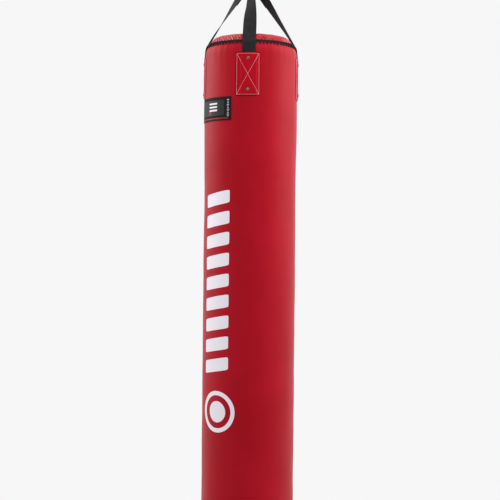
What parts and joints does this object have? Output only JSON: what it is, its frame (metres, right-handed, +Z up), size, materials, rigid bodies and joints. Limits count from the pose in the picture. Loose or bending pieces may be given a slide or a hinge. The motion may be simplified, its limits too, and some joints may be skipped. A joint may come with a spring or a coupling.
{
  "type": "hanging heavy punching bag",
  "caption": "Long red vinyl heavy bag hung on black webbing straps from a carabiner and ball-bearing swivel, with laced gathered top cover, riveted patches and a side label.",
  "frame": {"origin": "the bearing point inside the swivel's top eye, where the hook that holds the bag up touches it", "axes": "+Z up along the bag's axis, -Y towards the front strap, +X to the right seen from the front"},
  "size_m": [0.37, 0.3689, 2.2885],
  "materials": {
    "red_vinyl": "satin",
    "red_patch_vinyl": "satin",
    "black_webbing": "matte",
    "black_cord": "matte",
    "black_label": "satin",
    "foam": "matte",
    "textile_fill": "matte",
    "rivet_steel": "polished",
    "zinc_steel": "satin"
  },
  "bodies": {
    "hanger": {"swivel_top_eye": "zinc_steel", "swivel_housing": "zinc_steel", "bearing_lower_race": "zinc_steel"},
    "swivel_lower": {"swivel_lower_eye": "zinc_steel", "swivel_nut": "zinc_steel", "bearing_upper_race": "zinc_steel", "bearing_balls": "zinc_steel"},
    "carabiner": {"carabiner_body": "zinc_steel", "gate_pin": "zinc_steel"},
    "gate": {"carabiner_gate": "zinc_steel"},
    "bag": {"shell_tube": "red_vinyl", "top_cover": "red_vinyl", "bottom_panel": "red_vinyl", "bottom_welt": "red_vinyl", "rim_lacing": "black_cord", "foam_liner": "foam", "fill_core": "textile_fill", "top_pad": "foam", "bottom_pad": "foam", "side_label": "black_label", "strap_front": "black_webbing", "patch_front": "red_patch_vinyl", "d_ring_front": "zinc_steel", "rivet_front_upper": "rivet_steel", "rivet_front_lower": "rivet_steel", "washer_front_upper": "zinc_steel", "washer_front_lower": "zinc_steel", "strap_right": "black_webbing", "patch_right": "red_patch_vinyl", "d_ring_right": "zinc_steel", "rivet_right_upper": "rivet_steel", "rivet_right_lower": "rivet_steel", "washer_right_upper": "zinc_steel", "washer_right_lower": "zinc_steel", "strap_back": "black_webbing", "patch_back": "red_patch_vinyl", "d_ring_back": "zinc_steel", "rivet_back_upper": "rivet_steel", "rivet_back_lower": "rivet_steel", "washer_back_upper": "zinc_steel", "washer_back_lower": "zinc_steel", "strap_left": "black_webbing", "patch_left": "red_patch_vinyl", "d_ring_left": "zinc_steel", "rivet_left_upper": "rivet_steel", "rivet_left_lower": "rivet_steel", "washer_left_upper": "zinc_steel", "washer_left_lower": "zinc_steel"}
  },
  "joints": [
    {"name": "swivel_spin", "type": "hinge", "parent": "hanger", "child": "swivel_lower", "pos_m": [0, 0, -0.06], "axis": [0, 0, 1], "continuous": true},
    {"name": "carabiner_swing", "type": "hinge", "parent": "swivel_lower", "child": "carabiner", "pos_m": [0, 0, -0.1258], "axis": [0.5299, -0.848, 0], "range_deg": [-60, 60]},
    {"name": "bag_swing", "type": "hinge", "parent": "carabiner", "child": "bag", "pos_m": [0, 0, -0.2205], "axis": [0.848, 0.5299, 0], "range_deg": [-50, 50]},
    {"name": "gate_hinge", "type": "hinge", "parent": "carabiner", "child": "gate", "pos_m": [-0.01461, -0.00913, -0.1435], "axis": [0.5299, -0.848, 0], "range_deg": [0, 20], "stiffness_Nm_per_rad": 0.6, "springref_deg": -20.05}
  ]
}
